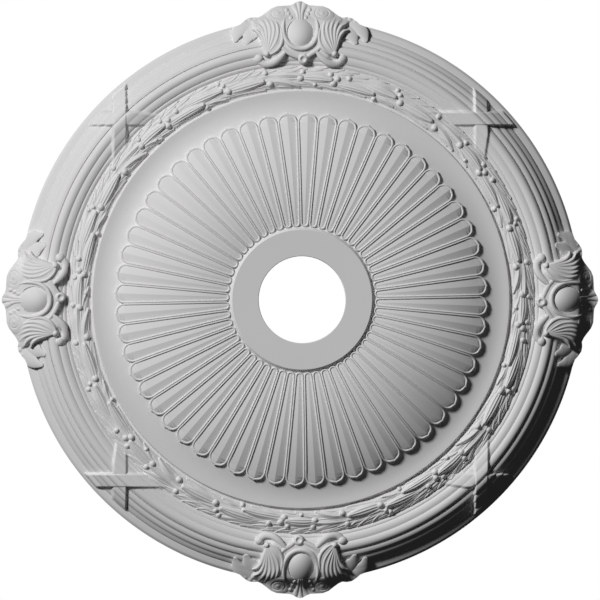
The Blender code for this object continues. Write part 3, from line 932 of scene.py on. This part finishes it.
def petal_fan(material):
    """All petals in one piece, with a crease along each keel."""
    spots, faces, keel = petal_mesh()
    every, joined, creases = [], [], []
    for k in range(PETALS):
        turn = math.radians((k + PETAL_SHIFT) * 360 / PETALS)
        x = spots[:, 0] * math.cos(turn) + spots[:, 1] * math.sin(turn)
        y = spots[:, 1] * math.cos(turn) - spots[:, 0] * math.sin(turn)
        shift = len(spots) * k
        every.append(np.stack([x, -y, -spots[:, 2]], -1) * MM)
        joined += [tuple(shift + n for n in face) for face in faces]
        creases += [(shift + a, shift + b) for a, b in keel]
    return make_piece("petals", np.vstack(every), joined, material, creases)


def wreath_bands(material):
    """Four quarters of the carved wreath."""
    radii = np.arange(WREATH_INSIDE, WREATH_OUTSIDE, WREATH_STEP)
    turns = np.linspace(-45.0, 45.0, int(90 / WREATH_TURN) + 1)
    under = list(zip((radii[-1], radii[0]), WREATH_UNDER))
    for quarter in range(4):
        angles = 90.0 * quarter + turns
        radius, turn = np.meshgrid(radii, np.radians(angles), indexing="ij")
        relief = Relief(radius * np.sin(turn), radius * np.cos(turn), wreath_bed(radius, turn))
        carve_wreath(relief)
        lay_ribbons(relief)
        closed_patch(f"wreath_{quarter}", radii[:, None], angles, relief.result(), under, material)


def border_patch(name, middle, turns, material, carved):
    """A stretch of the border about a middle angle: a carved cartouche, or reeds under crossed ribbons."""
    edge = silhouette(turns)[None, :]
    if carved:
        rows = int((TIP_RADIUS - BORDER_START) / BORDER_STEP)
        share = np.linspace(0.0, 1.0, rows)[:, None]
        radius = BORDER_START + share * (edge - BORDER_START)
    else:
        radius = np.tile(border_radii(BORDER_START, RIM_RADIUS)[:, None], len(turns))
    turn = np.radians(turns if carved else middle + turns)
    relief = Relief(radius * np.sin(turn), radius * np.cos(turn), border_height(radius))
    if carved:
        carve_cartouche(relief)
    else:
        lay_ribbons(relief)
    heights = np.maximum(relief.result(), EDGE_HEIGHT)
    heights[0] -= SEAM_DROP
    under = [(edge, 0.0)] + back_rows(BORDER_START, RIM_RADIUS)
    under += [(BORDER_START, read_table(BACK_LINE, BORDER_START))]
    closed_patch(name, radius, middle + turns, heights, under, material)


def border_patches(material):
    """Cartouches at the four axes, and reeds with their crossed ribbons between them."""
    count = int(2 * CARTOUCHE_HALF / CARTOUCHE_TURN) + 1
    cartouche = np.linspace(-CARTOUCHE_HALF, CARTOUCHE_HALF, count)
    start, end = CARTOUCHE_HALF, 90.0 - CARTOUCHE_HALF
    ribbon_start, ribbon_end = 45.0 - RIBBON_HALF_ANGLE, 45.0 + RIBBON_HALF_ANGLE
    plain_count = int((ribbon_start - start) / PLAIN_TURN)
    ribbon_count = int(2 * RIBBON_HALF_ANGLE / RIBBON_TURN)
    first = np.linspace(start, ribbon_start, plain_count, endpoint=False)
    ribbon = np.linspace(ribbon_start, ribbon_end, ribbon_count, endpoint=False)
    last = np.linspace(ribbon_end, end, plain_count + 1)
    reeds = np.concatenate([first, ribbon, last])
    for quarter in range(4):
        middle = 90.0 * quarter
        border_patch(f"cartouche_{quarter}", middle, cartouche, material, carved=True)
        border_patch(f"reeds_{quarter}", middle, reeds, material, carved=False)


# Primer: its two shades, range of roughness and gloss, size of the clouds and of the grain per metre,
# and the grain's strength and height in metres
PRIMER_SHADES = ((0.745, 0.737, 0.738, 1.0), (0.795, 0.787, 0.788, 1.0))
PRIMER_ROUGHNESS = (0.62, 0.82)
PRIMER_SPECULAR = 0.25
PRIMER_CLOUD = 9.0
PRIMER_GRAIN = 420.0
GRAIN_STRENGTH = 0.12
GRAIN_HEIGHT = 0.0004

# Floor: its two shades, roughness and size of the clouds
FLOOR_SHADES = ((0.90, 0.90, 0.90, 1.0), (0.93, 0.93, 0.93, 1.0))
FLOOR_ROUGHNESS = 0.8
FLOOR_CLOUD = 0.6


def set_input(node, name, value):
    node.inputs[name].default_value = value


def new_material(name):
    """A material with its nodes, links and shader."""
    material = bpy.data.materials.new(name)
    material.use_nodes = True
    nodes, links = material.node_tree.nodes, material.node_tree.links
    return material, nodes, links, nodes["Principled BSDF"]


def noise(nodes, scale, detail=2.0):
    node = nodes.new("ShaderNodeTexNoise")
    set_input(node, "Scale", scale)
    set_input(node, "Detail", detail)
    return node


def tint(nodes, links, shader, cloud, shades):
    """Base colour that drifts between two shades with a cloud."""
    mix = nodes.new("ShaderNodeMix")
    mix.data_type = "RGBA"
    set_input(mix, "A", shades[0])
    set_input(mix, "B", shades[1])
    links.new(cloud.outputs["Fac"], mix.inputs["Factor"])
    links.new(mix.outputs["Result"], shader.inputs["Base Color"])


def primed_white():
    """Matt white primer: faint clouding of colour and gloss, and the fine grain of sprayed foam."""
    material, nodes, links, shader = new_material("primed_white")
    where = nodes.new("ShaderNodeTexCoord")
    cloud = noise(nodes, PRIMER_CLOUD, detail=4.0)
    links.new(where.outputs["Object"], cloud.inputs["Vector"])
    tint(nodes, links, shader, cloud, PRIMER_SHADES)
    gloss = nodes.new("ShaderNodeMapRange")
    set_input(gloss, "To Min", PRIMER_ROUGHNESS[0])
    set_input(gloss, "To Max", PRIMER_ROUGHNESS[1])
    links.new(cloud.outputs["Fac"], gloss.inputs["Value"])
    links.new(gloss.outputs["Result"], shader.inputs["Roughness"])
    grain = noise(nodes, PRIMER_GRAIN, detail=3.0)
    links.new(where.outputs["Object"], grain.inputs["Vector"])
    bump = nodes.new("ShaderNodeBump")
    set_input(bump, "Strength", GRAIN_STRENGTH)
    set_input(bump, "Distance", GRAIN_HEIGHT)
    links.new(grain.outputs["Fac"], bump.inputs["Height"])
    links.new(bump.outputs["Normal"], shader.inputs["Normal"])
    set_input(shader, "Specular IOR Level", PRIMER_SPECULAR)
    return material


def studio_white():
    """The floor's matt white, with a faint cloud in it."""
    material, nodes, links, shader = new_material("studio_floor")
    tint(nodes, links, shader, noise(nodes, FLOOR_CLOUD), FLOOR_SHADES)
    set_input(shader, "Roughness", FLOOR_ROUGHNESS)
    return material


# How far below the rose the floor is and its size, and how far the camera is and sees, in metres
FLOOR_DROP = 2.4
FLOOR_SIZE = 160.0
CAMERA_DISTANCE = 1.6
CAMERA_REACH = 10.0

# Lights: azimuth and elevation in degrees, strength, and the degrees over which each is spread
KEY_LIGHT = (-52.0, 41.3, 2.75, 11.0)
ROOM_LIGHT = (-70.0, -52.0, 2.6, 24.0)

# World: its strength as the camera sees it, and as it lights the rose
WHITE = (1.0, 1.0, 1.0, 1.0)
SEEN_STRENGTH = 1.0
WORLD_STRENGTH = 0.016

# Picture: the camera's swing in degrees, its size in pixels, a pixel's size, and the rim's centre
CAMERA_SWING = 2.0
PIXELS = 600
PIXEL_SIZE = 1.17
RIM_CENTRE = (299.9, 299.65)


def stage_floor():
    """A wide floor far below the rose, which the camera sees but which adds no light or shade."""
    bpy.ops.mesh.primitive_plane_add(size=FLOOR_SIZE, location=(0.0, 0.0, -FLOOR_DROP))
    floor = bpy.context.active_object
    floor.name = "studio_floor"
    floor.data.materials.append(studio_white())
    floor.visible_shadow = False
    floor.visible_diffuse = False
    floor.visible_glossy = False


def toward(azimuth, elevation):
    """World direction of a light: azimuth clockwise from the top, elevation from the ceiling plane."""
    turn, rise = math.radians(azimuth), math.radians(elevation)
    return Vector((math.sin(turn) * math.cos(rise), -math.cos(turn) * math.cos(rise), -math.sin(rise)))


def sun(name, azimuth, elevation, strength, angle):
    """A soft distant light. A negative elevation puts it over the ceiling plane."""
    data = bpy.data.lights.new(name, "SUN")
    data.energy = strength
    data.angle = math.radians(angle)
    light = bpy.data.objects.new(name, data)
    light.rotation_euler = toward(azimuth, elevation).to_track_quat("Z", "Y").to_euler()
    bpy.context.scene.collection.objects.link(light)


def set_world():
    """A world that the camera sees as white, and that lights the rose only faintly."""
    world = bpy.data.worlds.new("studio")
    bpy.context.scene.world = world
    world.use_nodes = True
    nodes, links = world.node_tree.nodes, world.node_tree.links
    seen = nodes["Background"]
    dim = nodes.new("ShaderNodeBackground")
    for node, strength in ((seen, SEEN_STRENGTH), (dim, WORLD_STRENGTH)):
        set_input(node, "Color", WHITE)
        set_input(node, "Strength", strength)
    path = nodes.new("ShaderNodeLightPath")
    mix = nodes.new("ShaderNodeMixShader")
    links.new(path.outputs["Is Camera Ray"], mix.inputs["Fac"])
    links.new(dim.outputs["Background"], mix.inputs[1])
    links.new(seen.outputs["Background"], mix.inputs[2])
    links.new(mix.outputs["Shader"], nodes["World Output"].inputs["Surface"])
    bpy.context.scene.view_settings.view_transform = "Standard"


def set_camera():
    """Straight up at the rose, a little from its left, with the top cartouche at the top of the picture."""
    data = bpy.data.cameras.new("camera")
    data.type = "ORTHO"
    data.ortho_scale = PIXELS * PIXEL_SIZE * MM
    data.clip_end = CAMERA_REACH
    camera = bpy.data.objects.new("camera", data)
    swing = math.radians(CAMERA_SWING)
    back = Vector((-math.sin(swing), 0.0, -math.cos(swing)))
    right = Vector((math.cos(swing), 0.0, -math.sin(swing)))
    up = Vector((0.0, -1.0, 0.0))
    centre = ((PIXELS / 2 - RIM_CENTRE[0]) * right - (PIXELS / 2 - RIM_CENTRE[1]) * up) * PIXEL_SIZE * MM
    turn = Matrix((right, up, back)).transposed()
    camera.matrix_world = Matrix.Translation(centre + back * CAMERA_DISTANCE) @ turn.to_4x4()
    bpy.context.scene.collection.objects.link(camera)
    bpy.context.scene.camera = camera


def build():
    white = primed_white()
    turned_core(white)
    petal_fan(white)
    wreath_bands(white)
    border_patches(white)
    stage_floor()
    set_world()
    sun("key", *KEY_LIGHT)
    sun("room", *ROOM_LIGHT)
    set_camera()


build()
